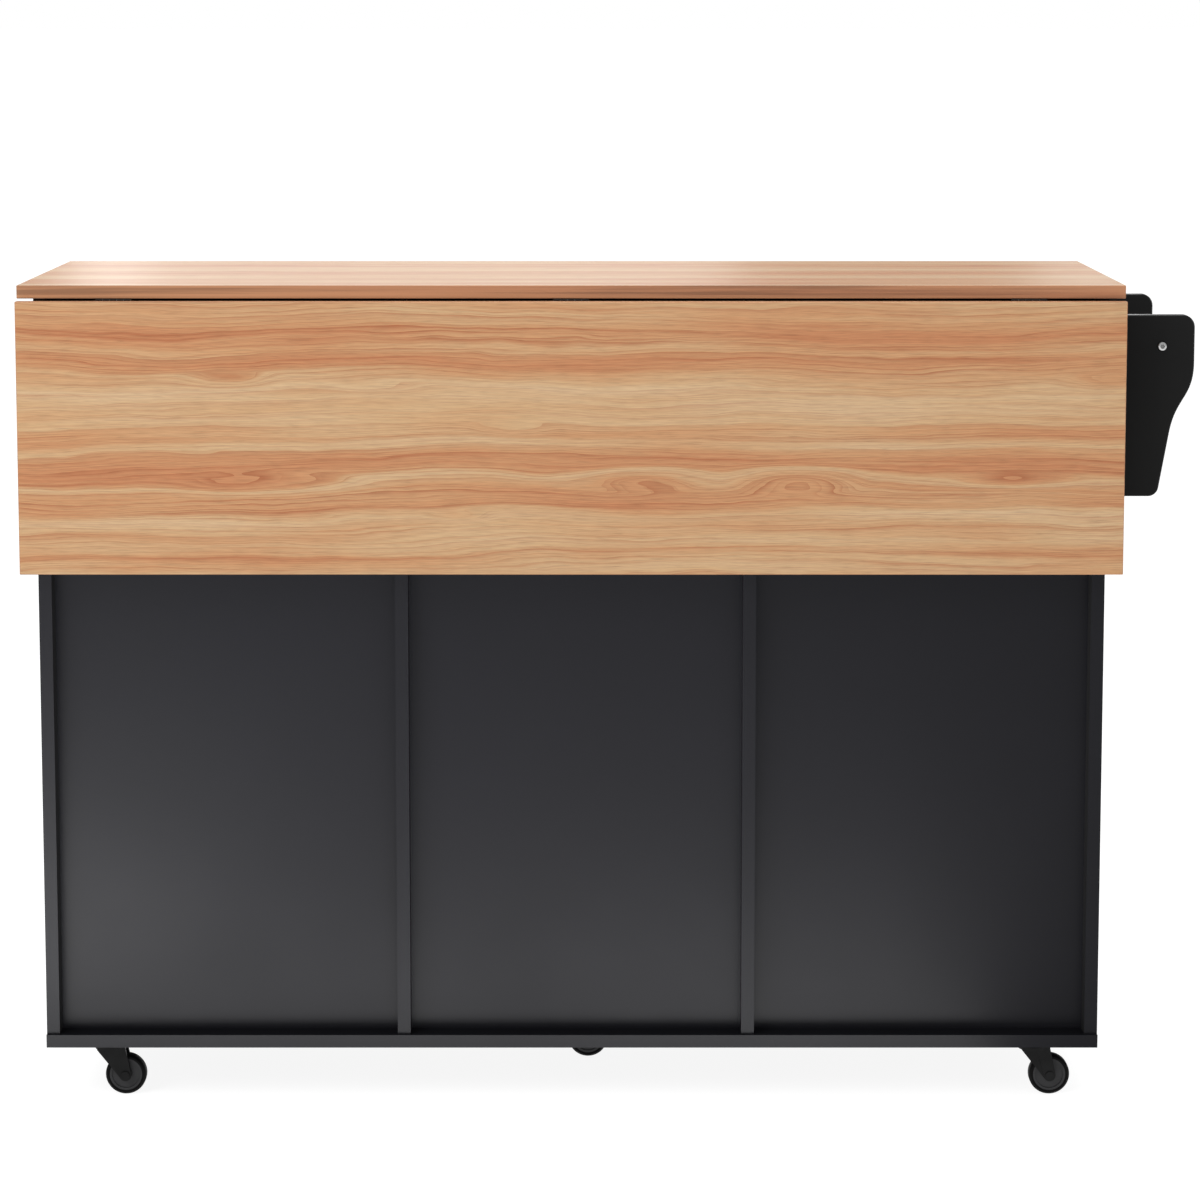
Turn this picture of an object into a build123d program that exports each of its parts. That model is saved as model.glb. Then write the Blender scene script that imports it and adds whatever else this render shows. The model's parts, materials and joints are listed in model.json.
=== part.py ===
from build123d import *
import math
import os

# A rolling kitchen island with a drop leaf, in millimetres.
# The origin is on the floor below the middle of the cabinet. +X runs along the worktop to the side rack,
# -Y is the drop-leaf side, +Y is the door side and +Z is up.

# Cabinet
BOARD = 15.0
LEFT_BAY = 395.0
MIDDLE_BAY = 386.0
RIGHT_BAY = 386.0
CABINET_DEPTH = 446.0
PANEL_HEIGHT = 860.0
BOTTOM_LIP = 6.0
BACK_BOARD = 5.0
BACK_RECESS = 30.0
GROOVE_DEPTH = 5.0
GROOVE_PLAY = 0.2

# Worktop and drop leaf
WORKTOP_THICKNESS = 15.0
SIDE_OVERHANG = 16.5
LEAF_SIDE_OVERHANG = 17.0
DOOR_SIDE_OVERHANG = 17.0
EDGE_EASE = 0.6
LEAF_WIDTH = 311.5
LEAF_THICKNESS = 15.0
LEAF_GAP = 0.5
LEAF_PIN_DROP = 2.25

# Butt hinges of the leaf and of the doors
KNUCKLES = 5
KNUCKLE_GAP = 0.4
KNUCKLE_CLEARANCE = 0.6
PIN_PLAY = 0.05
LEAF_HINGE_LENGTH = 40.0
LEAF_HINGE_INSET = 110.0
LEAF_HINGE_WIDTH = 25.0
LEAF_HINGE_SHEET = 1.2
LEAF_HINGE_KNUCKLE = 1.9
LEAF_HINGE_PIN = 1.0
DOOR_HINGE_LENGTH = 60.0
DOOR_HINGE_WIDTH = 17.0
DOOR_HINGE_SHEET = 1.2
DOOR_HINGE_KNUCKLE = 3.0
DOOR_HINGE_PIN = 1.5
DOOR_HINGE_INSET = 90.0
DOOR_HINGE_PROUD = 0.3

# Struts that swing up under the raised leaf, and the blocks on the leaf that they seat in
STRUT_LENGTH = 180.0
STRUT_WIDTH = 16.0
STRUT_SHEET = 5.0
STRUT_PIVOT_DROP = 110.0
STRUT_PIVOT_INSET = 15.0
STRUT_BOLT = 3.0
STRUT_BOLT_DEPTH = 10.0
STRUT_BOLT_HEAD = 6.0
STRUT_BOLT_HEAD_HEIGHT = 3.0
STRUT_COLLAR = 5.0
STRUT_COLLAR_HEIGHT = 1.0
STRUT_PLAY = 0.2
REST_BLOCK_LENGTH = 40.0
REST_BLOCK_WIDTH = 26.0
REST_BLOCK_PLAY = 0.3
REST_SADDLE = 9.5
REST_SADDLE_DEPTH = 2.2
REST_SADDLE_PLAY = 0.4

# Doors, drawers and shelves
FRONT_BOARD = 15.0
FRONT_GAP = 2.5
HINGE_GAP = 3.0
DRAWER_OPENING = 155.0
DRAWER_SIDE = 12.0
DRAWER_HEIGHT = 100.0
DRAWER_BACK_GAP = 11.0
DRAWER_LIFT = 8.0
DRAWER_BOTTOM = 4.0
DRAWER_BOTTOM_LIFT = 8.0
DRAWER_GROOVE = 4.0
DRAWER_PLAY = 0.1
RUNNER_SPACE = 12.5
RUNNER_END_GAP = 15.0
RUNNER_HEIGHT = 30.0
RUNNER_DEPTH = 10.0
RUNNER_SHEET = 1.2
RUNNER_PLAY = 0.4
HANDLE_LENGTH = 150.0
HANDLE_CENTRES = 128.0
HANDLE_BAR = 5.0
HANDLE_POST = 4.0
HANDLE_REACH = 28.0
DOOR_HANDLE_INSET = 36.0
DOOR_HANDLE_DROP = 130.0
SHELF_SETBACK = 40.0
SHELF_PLAY = 1.0
LOOSE_SHELF_HEIGHT = 350.0
SHELF_PIN = 2.5
SHELF_PIN_DEPTH = 9.0
SHELF_PIN_REACH = 9.0
SHELF_PIN_INSET = 50.0
SHELF_PIN_PLAY = 0.05

# Side rack
RACK_INSET = 32.5
RACK_BOARD = 15.0
RACK_DROP = 22.0
RACK_HEIGHT = 209.5
RACK_REACH = 102.7
RACK_SHOULDER = 54.0
RACK_NECK = 136.0
RACK_NECK_REACH = 75.2
RACK_FOOT_REACH = 62.2
RACK_CURVE_PULL = 42.0
RACK_CORNER = 14.0
RACK_FOOT_CORNER = 12.0
RACK_EASE = 1.0
RACK_SHELF_DEPTH = 52.0
RACK_SHELF_BOARD = 12.0
RACK_SHELF_LIFT = 6.0
RACK_RAIL = 4.0
RACK_RAIL_REACH = 58.0
RACK_RAIL_LIFT = 40.0
TOWEL_ROD = 8.0
TOWEL_ROD_REACH = 65.5
TOWEL_ROD_DROP = 36.0
ROD_BOLT = 3.0
ROD_BOLT_DEPTH = 25.0
ROD_BOLT_HEAD = 5.0
ROD_BOLT_HEAD_HEIGHT = 3.0
ROD_BOLT_HEAD_EASE = 0.8
ROD_BOLT_PLAY = 0.1

# Casters
CASTER_HEIGHT = 66.0
CASTER_INSET_X = 69.5
CASTER_INSET_Y = 47.0
CASTER_TRAIL = 18.0
PLATE_LENGTH = 58.0
PLATE_WIDTH = 44.0
PLATE_SHEET = 2.5
PLATE_CORNER = 5.0
PLATE_HOLES_X = 45.0
PLATE_HOLES_Y = 31.0
PLATE_HOLE = 2.5
RACE_RADIUS = 18.5
RACE_HEIGHT = 5.0
RACE_CHAMFER = 1.5
RACE_GAP = 0.4
KINGPIN = 4.0
KINGPIN_HEAD = 6.5
KINGPIN_HEAD_HEIGHT = 2.5
FORK_HEAD = 18.0
FORK_HEAD_HEIGHT = 3.6
FORK_SHEET = 2.5
FORK_GAP = 1.5
FORK_FRONT = 18.0
FORK_REAR = 15.0
FORK_STRIP_REAR = -3.5
FORK_STRIP = 1.0
FORK_EYE = 7.0
WHEEL_RADIUS = 24.0
WHEEL_WIDTH = 18.0
TYRE_SHOULDER = 2.0
HUB_RADIUS = 19.0
HUB_RIM = 2.5
HUB_RIM_INSET = 1.0
HUB_BOSS = 7.5
HUB_DISH = 2.5
AXLE = 3.0
AXLE_HEAD = 5.0
AXLE_HEAD_HEIGHT = 1.6
AXLE_PLAY = 0.05
TYRE_BOND = 0.02

# Places worked out from the sizes above
CABINET_WIDTH = LEFT_BAY + MIDDLE_BAY + RIGHT_BAY + 4 * BOARD
LEFT_SIDE = -CABINET_WIDTH / 2
LEFT_BAY_LOW = LEFT_SIDE + BOARD
LEFT_BAY_HIGH = LEFT_BAY_LOW + LEFT_BAY
MIDDLE_BAY_LOW = LEFT_BAY_HIGH + BOARD
MIDDLE_BAY_HIGH = MIDDLE_BAY_LOW + MIDDLE_BAY
RIGHT_BAY_LOW = MIDDLE_BAY_HIGH + BOARD
RIGHT_BAY_HIGH = RIGHT_BAY_LOW + RIGHT_BAY
RIGHT_SIDE = RIGHT_BAY_HIGH + BOARD
LEAF_PLANE = -CABINET_DEPTH / 2
DOOR_PLANE = CABINET_DEPTH / 2
BACK_FACE = LEAF_PLANE + BACK_RECESS
BAY_BACK = BACK_FACE + BACK_BOARD
BOTTOM_LOW = CASTER_HEIGHT
PANEL_LOW = BOTTOM_LOW + BOARD
PANEL_HIGH = PANEL_LOW + PANEL_HEIGHT
WORKTOP_HIGH = PANEL_HIGH + WORKTOP_THICKNESS
WORKTOP_EDGE = LEAF_PLANE - LEAF_SIDE_OVERHANG
WORKTOP_LOW_X = LEFT_SIDE - SIDE_OVERHANG
WORKTOP_HIGH_X = RIGHT_SIDE + SIDE_OVERHANG
LEAF_PIN_Y = WORKTOP_EDGE - LEAF_GAP / 2
LEAF_PIN_Z = PANEL_HIGH - LEAF_PIN_DROP
LEAF_FACE = LEAF_PIN_Y - LEAF_PIN_DROP
LEAF_HIGH = LEAF_PIN_Z - LEAF_GAP / 2
DRAWER_SHELF_HIGH = PANEL_HIGH - DRAWER_OPENING
DRAWER_SHELF_LOW = DRAWER_SHELF_HIGH - BOARD
FRONT_BACK = DOOR_PLANE - FRONT_BOARD
DRAWER_LENGTH = FRONT_BACK - BAY_BACK - DRAWER_BACK_GAP
RUNNER_LENGTH = DRAWER_LENGTH - RUNNER_END_GAP
LOOSE_SHELF_LOW = PANEL_LOW + LOOSE_SHELF_HEIGHT

X_WAY = (1, 0, 0)
Y_WAY = (0, 1, 0)
Z_WAY = (0, 0, 1)
MINUS_X_WAY = (-1, 0, 0)
MINUS_Y_WAY = (0, -1, 0)
MINUS_Z_WAY = (0, 0, -1)


def save(name, *pieces):
    """Writes one node, which holds the solids of the given pieces."""
    solids = [solid for piece in pieces for solid in piece.solids()]
    node = solids[0] if len(solids) == 1 else Compound(solids)
    node.label = name
    export_step(node, f"parts/{name}.step")


def make_board(x, y, z, ease=0.0):
    """A board between the low and high values of x, y and z, with its edges chamfered by ease."""
    with BuildPart() as board:
        with BuildSketch(Plane.XY.offset(z[0])):
            with Locations(((x[0] + x[1]) / 2, (y[0] + y[1]) / 2)):
                Rectangle(x[1] - x[0], y[1] - y[0])
        extrude(amount=z[1] - z[0])
        if ease:
            chamfer(board.edges(), ease)
    return board.part


def make_bar(start, way, radius, length):
    """A round bar from a point."""
    with BuildPart() as bar:
        with BuildSketch(Plane(origin=start, z_dir=way)):
            Circle(radius)
        extrude(amount=length)
    return bar.part


def make_rod_bolt(start, way):
    """A bolt of the towel rod, whose head stands on start and whose shank runs the given way."""
    seat = Plane(origin=start, z_dir=way)
    with BuildPart() as bolt:
        with BuildSketch(seat):
            Circle(ROD_BOLT)
        extrude(amount=ROD_BOLT_DEPTH)
        with BuildSketch(seat):
            Circle(ROD_BOLT_HEAD)
        extrude(amount=-ROD_BOLT_HEAD_HEIGHT)
        chamfer(bolt.faces().sort_by(Axis(start, way))[0].edges(), ROD_BOLT_HEAD_EASE)
    return bolt.part


def shelf_pin_places():
    """The y and z places of the pins at one end of a loose shelf."""
    shelf_front = DOOR_PLANE - SHELF_SETBACK
    height = LOOSE_SHELF_LOW - SHELF_PIN
    return [(BAY_BACK + SHELF_PIN_INSET, height), (shelf_front - SHELF_PIN_INSET, height)]


def strut_pivot():
    """The y and z place of a strut's pivot, in the recess behind the hanging leaf."""
    return LEAF_PLANE + STRUT_PIVOT_INSET, LEAF_PIN_Z - STRUT_PIVOT_DROP


def make_upright(low_x, grooved, pinned=(), strut_faces=()):
    """A side panel or divider. Each face is its x place and the way into the board from there."""
    groove_y = BACK_FACE + BACK_BOARD / 2
    with BuildPart() as upright:
        with BuildSketch(Plane.XY.offset(PANEL_LOW)):
            with Locations((low_x + BOARD / 2, 0)):
                Rectangle(BOARD, CABINET_DEPTH)
            for face, way in grooved:
                with Locations((face + way * GROOVE_DEPTH / 2, groove_y)):
                    Rectangle(GROOVE_DEPTH, BACK_BOARD + 2 * GROOVE_PLAY, mode=Mode.SUBTRACT)
        extrude(amount=PANEL_HEIGHT)
        for face, way in pinned:
            with BuildSketch(Plane.YZ.offset(face)):
                with Locations(*shelf_pin_places()):
                    Circle(SHELF_PIN + SHELF_PIN_PLAY)
            extrude(amount=way * (SHELF_PIN_DEPTH + SHELF_PLAY), mode=Mode.SUBTRACT)
        for face, way in strut_faces:
            with BuildSketch(Plane.YZ.offset(face)):
                with Locations(strut_pivot()):
                    Circle(STRUT_BOLT + PIN_PLAY)
            extrude(amount=way * (STRUT_BOLT_DEPTH + STRUT_PLAY), mode=Mode.SUBTRACT)
    return upright.part


def make_back_panel(bay_low, bay_high):
    """A thin board in the grooves on both sides of a bay."""
    reach = GROOVE_DEPTH - GROOVE_PLAY
    return make_board((bay_low - reach, bay_high + reach), (BACK_FACE, BAY_BACK), (PANEL_LOW, PANEL_HIGH))


def make_hinge_plate(pin, width, length, sheet, knuckle, pin_radius, seat, first_knuckle):
    """One plate of a butt hinge. The plane's z axis is the pin, its x axis runs along the plate and its
    y axis points at the face that the plate is screwed to, which lies seat away from the pin."""
    pitch = length / KNUCKLES
    start = knuckle + KNUCKLE_CLEARANCE
    middle = seat - sheet / 2
    with BuildPart() as plate:
        with BuildSketch(pin):
            with Locations(((start + width) / 2, middle)):
                Rectangle(width - start, sheet)
        extrude(amount=length)
        for number in range(first_knuckle, KNUCKLES, 2):
            with BuildSketch(pin.offset(number * pitch + KNUCKLE_GAP / 2)):
                with Locations((start / 2, middle)):
                    Rectangle(start, sheet)
                Circle(knuckle)
                Circle(pin_radius + PIN_PLAY, mode=Mode.SUBTRACT)
            extrude(amount=pitch - KNUCKLE_GAP)
    return plate.part


def leaf_hinge_plate(middle_x, plate_way, pin_way, first_knuckle):
    """A plate of one of the leaf's hinges, on the worktop or on the leaf."""
    start = middle_x - pin_way[0] * LEAF_HINGE_LENGTH / 2
    pin = Plane(origin=(start, LEAF_PIN_Y, LEAF_PIN_Z), x_dir=plate_way, z_dir=pin_way)
    return make_hinge_plate(
        pin, LEAF_HINGE_WIDTH, LEAF_HINGE_LENGTH, LEAF_HINGE_SHEET, LEAF_HINGE_KNUCKLE,
        LEAF_HINGE_PIN, LEAF_PIN_DROP, first_knuckle,
    )


def door_hinge_plate(pin_x, middle_z, pin_way, first_knuckle):
    """A plate of one of a door's hinges, on the side panel or on the door's edge."""
    start = middle_z - pin_way[2] * DOOR_HINGE_LENGTH / 2
    pin = Plane(origin=(pin_x, door_pin_y(), start), x_dir=MINUS_Y_WAY, z_dir=pin_way)
    return make_hinge_plate(
        pin, DOOR_HINGE_WIDTH, DOOR_HINGE_LENGTH, DOOR_HINGE_SHEET, DOOR_HINGE_KNUCKLE,
        DOOR_HINGE_PIN, HINGE_GAP / 2, first_knuckle,
    )


def door_pin_y():
    """The y place of a door's hinge pins, just in front of the cabinet."""
    return DOOR_PLANE + DOOR_HINGE_KNUCKLE + DOOR_HINGE_PROUD


def rest_block_place():
    """How far from the leaf's pin a raised strut's nose meets its rest block, along the leaf."""
    pivot_y, pivot_z = strut_pivot()
    nose_z = LEAF_PIN_Z + LEAF_PIN_DROP - rest_block_height() + REST_SADDLE_DEPTH
    nose_z -= REST_SADDLE_PLAY + STRUT_WIDTH / 2
    rise = nose_z - pivot_z
    return math.sqrt(STRUT_LENGTH**2 - rise**2) - (pivot_y - LEAF_PIN_Y)


def rest_block_height():
    """A rest block fills the space between the hanging leaf and a divider's edge."""
    return LEAF_PLANE - LEAF_FACE - REST_BLOCK_PLAY


def make_rest_block(middle_x):
    """A block on the leaf's inner face, with a saddle for the strut's nose."""
    height = rest_block_height()
    middle_z = LEAF_PIN_Z - rest_block_place()
    saddle_y = LEAF_FACE + height - REST_SADDLE_DEPTH + REST_SADDLE
    with BuildPart() as block:
        with BuildSketch(Plane.YZ.offset(middle_x - REST_BLOCK_WIDTH / 2)):
            with Locations((LEAF_FACE + height / 2, middle_z)):
                Rectangle(height, REST_BLOCK_LENGTH)
            with Locations((saddle_y, middle_z)):
                Circle(REST_SADDLE, mode=Mode.SUBTRACT)
        extrude(amount=REST_BLOCK_WIDTH)
    return block.part


def make_strut(divider_face, way):
    """A flat bar with round ends that hangs from its pivot, beside a divider's face."""
    pivot_y, pivot_z = strut_pivot()
    near = divider_face + way * (STRUT_COLLAR_HEIGHT + STRUT_PLAY)
    with BuildPart() as strut:
        with BuildSketch(Plane.YZ.offset(near)):
            with Locations((pivot_y, pivot_z - STRUT_LENGTH / 2)):
                SlotCenterToCenter(STRUT_LENGTH, STRUT_WIDTH, rotation=90)
            with Locations((pivot_y, pivot_z)):
                Circle(STRUT_BOLT + PIN_PLAY, mode=Mode.SUBTRACT)
        extrude(amount=way * STRUT_SHEET)
    return strut.part


def make_strut_bolt(divider_face, way):
    """A shoulder bolt in a divider, with a collar that keeps the strut off the board."""
    pivot = Plane.YZ.offset(divider_face)
    grip = STRUT_COLLAR_HEIGHT + STRUT_SHEET + 2 * STRUT_PLAY
    with BuildPart() as bolt:
        with BuildSketch(pivot):
            with Locations(strut_pivot()):
                Circle(STRUT_BOLT)
        extrude(amount=way * grip)
        with BuildSketch(pivot):
            with Locations(strut_pivot()):
                Circle(STRUT_BOLT)
        extrude(amount=-way * STRUT_BOLT_DEPTH)
        with BuildSketch(pivot):
            with Locations(strut_pivot()):
                Circle(STRUT_COLLAR)
        extrude(amount=way * STRUT_COLLAR_HEIGHT)
        with BuildSketch(pivot.offset(way * grip)):
            with Locations(strut_pivot()):
                Circle(STRUT_BOLT_HEAD)
        extrude(amount=way * STRUT_BOLT_HEAD_HEIGHT)
    return bolt.part


def make_handle(face):
    """A bar pull on two posts. The plane is the face that it stands on, its x axis along the bar."""
    bar_start = face.from_local_coords((-HANDLE_LENGTH / 2, 0, HANDLE_REACH))
    with BuildPart() as handle:
        with BuildSketch(face):
            with GridLocations(HANDLE_CENTRES, 0, 2, 1):
                Circle(HANDLE_POST)
        extrude(amount=HANDLE_REACH)
        with BuildSketch(Plane(origin=bar_start, z_dir=face.x_dir)):
            Circle(HANDLE_BAR)
        extrude(amount=HANDLE_LENGTH)
    return handle.part


def drawer_side_low():
    """The height of a drawer box's lower edge."""
    return DRAWER_SHELF_HIGH + DRAWER_LIFT


def make_runner(wall, way):
    """The channel of a drawer runner, on the wall of a bay."""
    middle_z = drawer_side_low() + DRAWER_HEIGHT / 2
    inside = RUNNER_HEIGHT - 2 * RUNNER_SHEET
    with BuildPart() as runner:
        with BuildSketch(Plane(origin=(wall, FRONT_BACK, middle_z), x_dir=X_WAY, z_dir=MINUS_Y_WAY)):
            with Locations((way * RUNNER_DEPTH / 2, 0)):
                Rectangle(RUNNER_DEPTH, RUNNER_HEIGHT)
            with Locations((way * (RUNNER_SHEET + RUNNER_DEPTH / 2), 0)):
                Rectangle(RUNNER_DEPTH, inside, mode=Mode.SUBTRACT)
        extrude(amount=RUNNER_LENGTH)
    return runner.part


def make_slide(wall, way):
    """The bar on a drawer's side, which runs in the channel on the wall."""
    middle_z = drawer_side_low() + DRAWER_HEIGHT / 2
    height = RUNNER_HEIGHT - 2 * RUNNER_SHEET - 2 * RUNNER_PLAY
    near = RUNNER_SHEET + RUNNER_PLAY
    with BuildPart() as slide:
        with BuildSketch(Plane(origin=(wall, FRONT_BACK, middle_z), x_dir=X_WAY, z_dir=MINUS_Y_WAY)):
            with Locations((way * (near + RUNNER_SPACE) / 2, 0)):
                Rectangle(RUNNER_SPACE - near, height)
        extrude(amount=RUNNER_LENGTH)
    return slide.part


def make_drawer_side(outer_face, way):
    """A drawer's side board, with the groove that holds the bottom."""
    low = drawer_side_low()
    groove_z = DRAWER_BOTTOM_LIFT + DRAWER_BOTTOM / 2
    with BuildPart() as side:
        with BuildSketch(Plane(origin=(outer_face, FRONT_BACK, low), x_dir=X_WAY, z_dir=MINUS_Y_WAY)):
            with Locations((way * DRAWER_SIDE / 2, DRAWER_HEIGHT / 2)):
                Rectangle(DRAWER_SIDE, DRAWER_HEIGHT)
            with Locations((way * (DRAWER_SIDE - DRAWER_GROOVE / 2), groove_z)):
                Rectangle(DRAWER_GROOVE, DRAWER_BOTTOM + 2 * DRAWER_PLAY, mode=Mode.SUBTRACT)
        extrude(amount=DRAWER_LENGTH)
    return side.part


def make_drawer(name, bay_low, bay_high):
    """A drawer that fills the top of a bay: front, box, handle and slides."""
    low = drawer_side_low()
    outer = (bay_low + RUNNER_SPACE, bay_high - RUNNER_SPACE)
    inner = (outer[0] + DRAWER_SIDE, outer[1] - DRAWER_SIDE)
    rear = FRONT_BACK - DRAWER_LENGTH
    front_z = (DRAWER_SHELF_HIGH + FRONT_GAP, PANEL_HIGH - FRONT_GAP)
    bottom_low = low + DRAWER_BOTTOM_LIFT
    reach = DRAWER_GROOVE - DRAWER_PLAY
    front = make_board(
        (bay_low + FRONT_GAP, bay_high - FRONT_GAP), (FRONT_BACK, DOOR_PLANE), front_z, EDGE_EASE
    )
    back = make_board(inner, (rear, rear + DRAWER_SIDE), (bottom_low + DRAWER_BOTTOM, low + DRAWER_HEIGHT))
    bottom = make_board(
        (inner[0] - reach, inner[1] + reach), (rear, FRONT_BACK), (bottom_low, bottom_low + DRAWER_BOTTOM)
    )
    handle_place = ((bay_low + bay_high) / 2, DOOR_PLANE, sum(front_z) / 2)
    save(f"{name}_drawer_front", front)
    save(
        f"{name}_drawer_box",
        make_drawer_side(outer[0], 1), make_drawer_side(outer[1], -1), back, bottom,
    )
    save(f"{name}_drawer_handle", make_handle(Plane(origin=handle_place, x_dir=X_WAY, z_dir=Y_WAY)))
    save(f"{name}_drawer_slides", make_slide(bay_low, 1), make_slide(bay_high, -1))


def door_hinge_heights():
    """The heights of the middles of a door's two hinges."""
    low = PANEL_LOW + FRONT_GAP + DOOR_HINGE_INSET
    high = DRAWER_SHELF_LOW - FRONT_GAP - DOOR_HINGE_INSET
    return low, high


def make_door(name, hinge_wall, free_wall):
    """A door inside a bay's opening, hung on the outer wall: panel, handle and hinge plates."""
    way = math.copysign(1, free_wall - hinge_wall)
    hinge_edge = hinge_wall + way * HINGE_GAP
    free_edge = free_wall - way * FRONT_GAP
    top = DRAWER_SHELF_LOW - FRONT_GAP
    panel = make_board(
        sorted((hinge_edge, free_edge)), (FRONT_BACK, DOOR_PLANE), (PANEL_LOW + FRONT_GAP, top), EDGE_EASE
    )
    handle_place = (free_edge - way * DOOR_HANDLE_INSET, DOOR_PLANE, top - DOOR_HANDLE_DROP)
    pin_x = hinge_wall + way * HINGE_GAP / 2
    plate_way = Z_WAY if way > 0 else MINUS_Z_WAY
    save(f"{name}_door", panel)
    save(f"{name}_door_handle", make_handle(Plane(origin=handle_place, x_dir=Z_WAY, z_dir=Y_WAY)))
    save(
        f"{name}_door_hinge_plates",
        *[door_hinge_plate(pin_x, height, plate_way, 1) for height in door_hinge_heights()],
    )


def make_bracket(far_face):
    """A rack bracket: a board with a square shoulder that sweeps in to a narrow foot."""
    slope = (RACK_NECK_REACH - RACK_FOOT_REACH) / (RACK_HEIGHT - RACK_NECK)
    outline = Plane(origin=(RIGHT_SIDE, far_face, PANEL_HIGH - RACK_DROP), x_dir=X_WAY, z_dir=MINUS_Y_WAY)
    with BuildPart() as bracket:
        with BuildSketch(outline) as profile:
            with BuildLine():
                Polyline((RACK_REACH, -RACK_SHOULDER), (RACK_REACH, 0), (0, 0), (0, -RACK_HEIGHT),
                         (RACK_FOOT_REACH, -RACK_HEIGHT), (RACK_NECK_REACH, -RACK_NECK))
                Bezier(
                    (RACK_REACH, -RACK_SHOULDER),
                    (RACK_REACH, -RACK_SHOULDER - RACK_CURVE_PULL),
                    (RACK_NECK_REACH + slope * RACK_CURVE_PULL, -RACK_NECK + RACK_CURVE_PULL),
                    (RACK_NECK_REACH, -RACK_NECK),
                )
            make_face()
            fillet(profile.vertices().sort_by_distance((RACK_REACH, 0))[0], RACK_CORNER)
            foot = (RACK_FOOT_REACH, -RACK_HEIGHT)
            fillet(profile.vertices().sort_by_distance(foot)[0], RACK_FOOT_CORNER)
            with Locations((TOWEL_ROD_REACH, -TOWEL_ROD_DROP)):
                Circle(ROD_BOLT + ROD_BOLT_PLAY, mode=Mode.SUBTRACT)
        extrude(amount=RACK_BOARD)
        for face in bracket.faces().filter_by(Axis.Y):
            chamfer(face.outer_wire().edges(), RACK_EASE)
    return bracket.part


def make_towel_rod(near, far):
    """The towel rod between the brackets' inner faces, with a hole for a bolt in each end."""
    place = (RIGHT_SIDE + TOWEL_ROD_REACH, near, PANEL_HIGH - RACK_DROP - TOWEL_ROD_DROP)
    start = Plane(origin=place, z_dir=Y_WAY)
    hole_depth = ROD_BOLT_DEPTH - RACK_BOARD + ROD_BOLT_PLAY
    with BuildPart() as rod:
        with BuildSketch(start):
            Circle(TOWEL_ROD)
        extrude(amount=far - near)
        for end, way in ((0, 1), (far - near, -1)):
            with BuildSketch(start.offset(end)):
                Circle(ROD_BOLT + ROD_BOLT_PLAY)
            extrude(amount=way * hole_depth, mode=Mode.SUBTRACT)
    return rod.part


def make_caster_plate(x, y):
    """The screwed plate of a caster, with the bearing race and the kingpin riveted to it."""
    race_top = CASTER_HEIGHT - PLATE_SHEET
    fork_low = fork_head_low()
    with BuildPart() as plate:
        with BuildSketch(Plane((x, y, CASTER_HEIGHT))):
            RectangleRounded(PLATE_LENGTH, PLATE_WIDTH, PLATE_CORNER)
            with GridLocations(PLATE_HOLES_X, PLATE_HOLES_Y, 2, 2):
                Circle(PLATE_HOLE, mode=Mode.SUBTRACT)
        extrude(amount=-PLATE_SHEET)
        with BuildSketch(Plane((x, y, race_top))):
            Circle(RACE_RADIUS)
        extrude(amount=-RACE_HEIGHT)
        chamfer(plate.faces().sort_by(Axis.Z)[0].edges(), RACE_CHAMFER)
        with BuildSketch(Plane((x, y, race_top))):
            Circle(KINGPIN)
        extrude(amount=fork_low - RACE_GAP - race_top)
        with BuildSketch(Plane((x, y, fork_low - RACE_GAP))):
            Circle(KINGPIN_HEAD)
        extrude(amount=-KINGPIN_HEAD_HEIGHT)
    return plate.part


def fork_head_low():
    """The height of the underside of a fork's head."""
    return CASTER_HEIGHT - PLATE_SHEET - RACE_HEIGHT - RACE_GAP - FORK_HEAD_HEIGHT


def leg_face():
    """How far a fork leg's inner face is from the middle of the wheel."""
    return WHEEL_WIDTH / 2 + FORK_GAP


def axle_reach():
    """How far the outer face of a fork leg's strip is from the middle of the wheel."""
    return leg_face() + FORK_SHEET + FORK_STRIP


def make_fork(x, y):
    """A caster's fork: a round head on the kingpin and two legs, each a web with a strip down to the axle."""
    head_low = fork_head_low()
    width = 2 * (leg_face() + FORK_SHEET)
    head_middle = (FORK_FRONT - FORK_REAR) / 2
    with BuildPart() as fork:
        with BuildSketch(Plane((x, y, head_low))):
            Circle(FORK_HEAD)
            with Locations((head_middle, 0)):
                Rectangle(FORK_FRONT + FORK_REAR, width)
            Circle(KINGPIN + PIN_PLAY, mode=Mode.SUBTRACT)
        extrude(amount=FORK_HEAD_HEIGHT)
        for way in (1, -1):
            for rear, height in ((FORK_REAR, FORK_SHEET), (FORK_STRIP_REAR, FORK_SHEET + FORK_STRIP)):
                inner = Plane(origin=(x, y + way * leg_face(), 0), x_dir=X_WAY, z_dir=MINUS_Y_WAY)
                with BuildSketch(inner):
                    with Locations(((FORK_FRONT - rear) / 2, head_low + FORK_HEAD_HEIGHT / 2)):
                        Rectangle(FORK_FRONT + rear, FORK_HEAD_HEIGHT)
                    with Locations((CASTER_TRAIL, WHEEL_RADIUS)):
                        Circle(FORK_EYE)
                    make_hull()
                extrude(amount=-way * height)
        with BuildSketch(Plane(origin=(x + CASTER_TRAIL, y, WHEEL_RADIUS), z_dir=Y_WAY)):
            Circle(AXLE + AXLE_PLAY)
        extrude(amount=axle_reach(), both=True, mode=Mode.SUBTRACT)
    return fork.part


def make_axle(x, y):
    """The riveted axle between a fork's legs."""
    reach = axle_reach()
    start = Plane(origin=(x + CASTER_TRAIL, y - reach, WHEEL_RADIUS), z_dir=Y_WAY)
    with BuildPart() as axle:
        with BuildSketch(start):
            Circle(AXLE)
        extrude(amount=2 * reach)
        for end, way in ((0, -1), (2 * reach, 1)):
            with BuildSketch(start.offset(end)):
                Circle(AXLE_HEAD)
            extrude(amount=way * AXLE_HEAD_HEIGHT)
    return axle.part


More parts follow.
